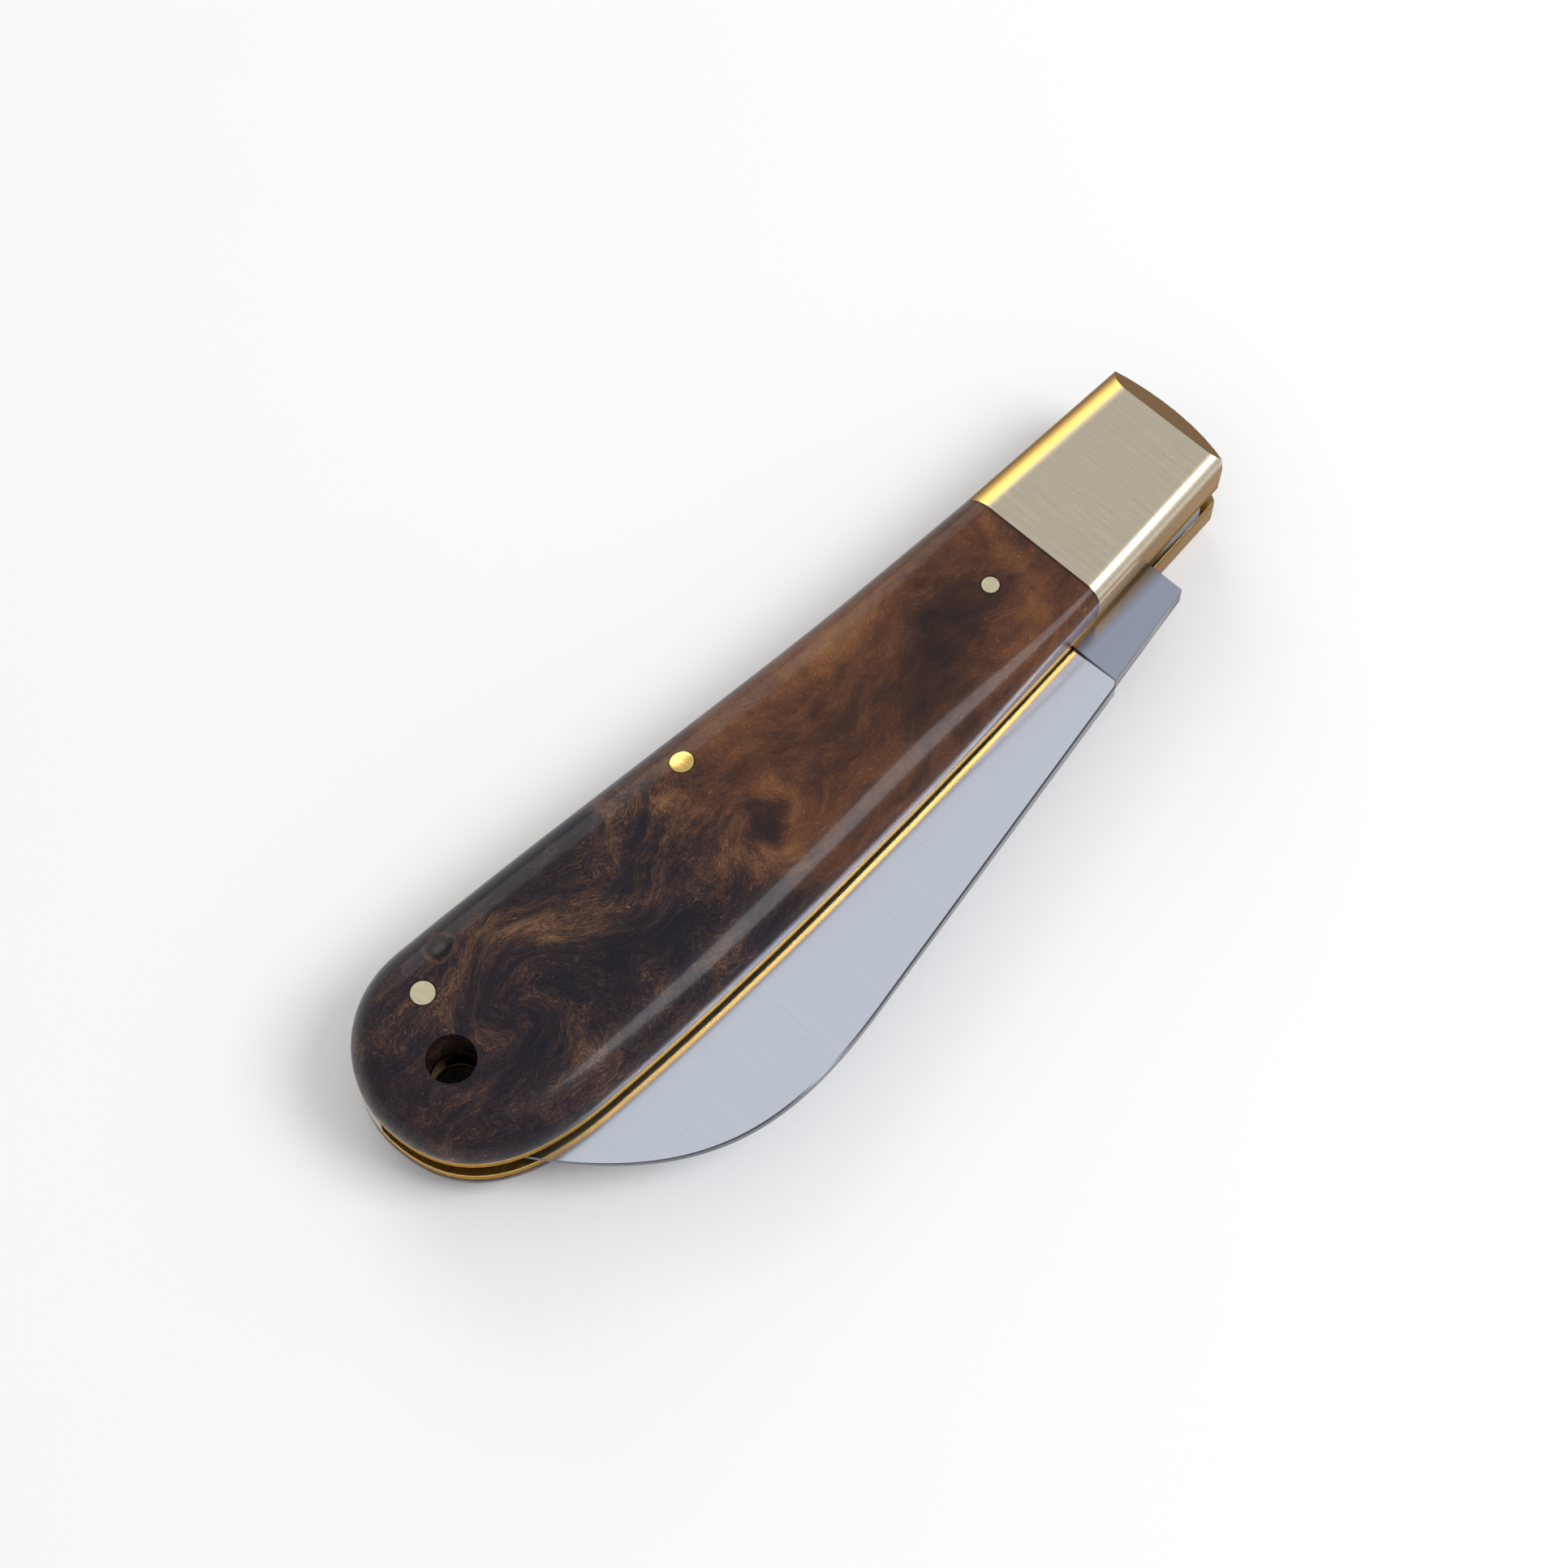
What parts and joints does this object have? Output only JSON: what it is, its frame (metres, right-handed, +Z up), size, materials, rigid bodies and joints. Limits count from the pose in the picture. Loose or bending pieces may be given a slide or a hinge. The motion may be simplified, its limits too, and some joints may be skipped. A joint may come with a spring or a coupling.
{
  "type": "folding pocket knife",
  "caption": "Slip-joint folding knife with a broad sheepsfoot blade, burl-wood scales, brass bolsters and liners, a steel backspring and a lanyard hole.",
  "frame": {"origin": "bottom centre of the bounding box of the closed knife, on the surface that its rear side lies on", "axes": "+X along the handle towards the bolsters, +Y from the belly towards the spine, +Z up through the thickness to the front side"},
  "size_m": [0.11, 0.0376, 0.0138],
  "materials": {
    "wood": "dark burl wood with swirling figure under a glossy clear finish",
    "bolster": "brushed pale brass, brush lines across the handle",
    "liner": "satin brass sheet with bright filed edges",
    "pin_brass": "brass pins filed flush and polished with the wood",
    "blade_steel": "satin-ground steel with fine grinding lines across the blade",
    "spring_steel": "polished spring steel"
  },
  "bodies": {
    "handle": {"front_scale": "wood", "rear_scale": "wood", "front_bolster": "bolster", "rear_bolster": "bolster", "front_liner": "liner", "rear_liner": "liner", "backspring": "spring_steel", "pivot_pin": "bolster", "middle_pin": "pin_brass", "rear_pin": "pin_brass", "front_scale_pin": "pin_brass", "rear_scale_pin": "pin_brass"},
    "blade": {"blade": "blade_steel"},
    "spring_arm": {"backspring_arm": "spring_steel"}
  },
  "joints": [
    {"name": "blade_pivot", "type": "hinge", "parent": "handle", "child": "blade", "pos_m": [0.04587, 0.00007, 0.0069], "axis": [0, 0, 1], "range_deg": [0, 180], "deforming": ["backspring_arm"]},
    {"name": "backspring_flex", "type": "hinge", "parent": "handle", "child": "spring_arm", "pos_m": [-0.00553, 0.01512, 0.0069], "axis": [0, 0, 1], "range_deg": [0, 1.1], "stiffness_Nm_per_rad": 4}
  ]
}
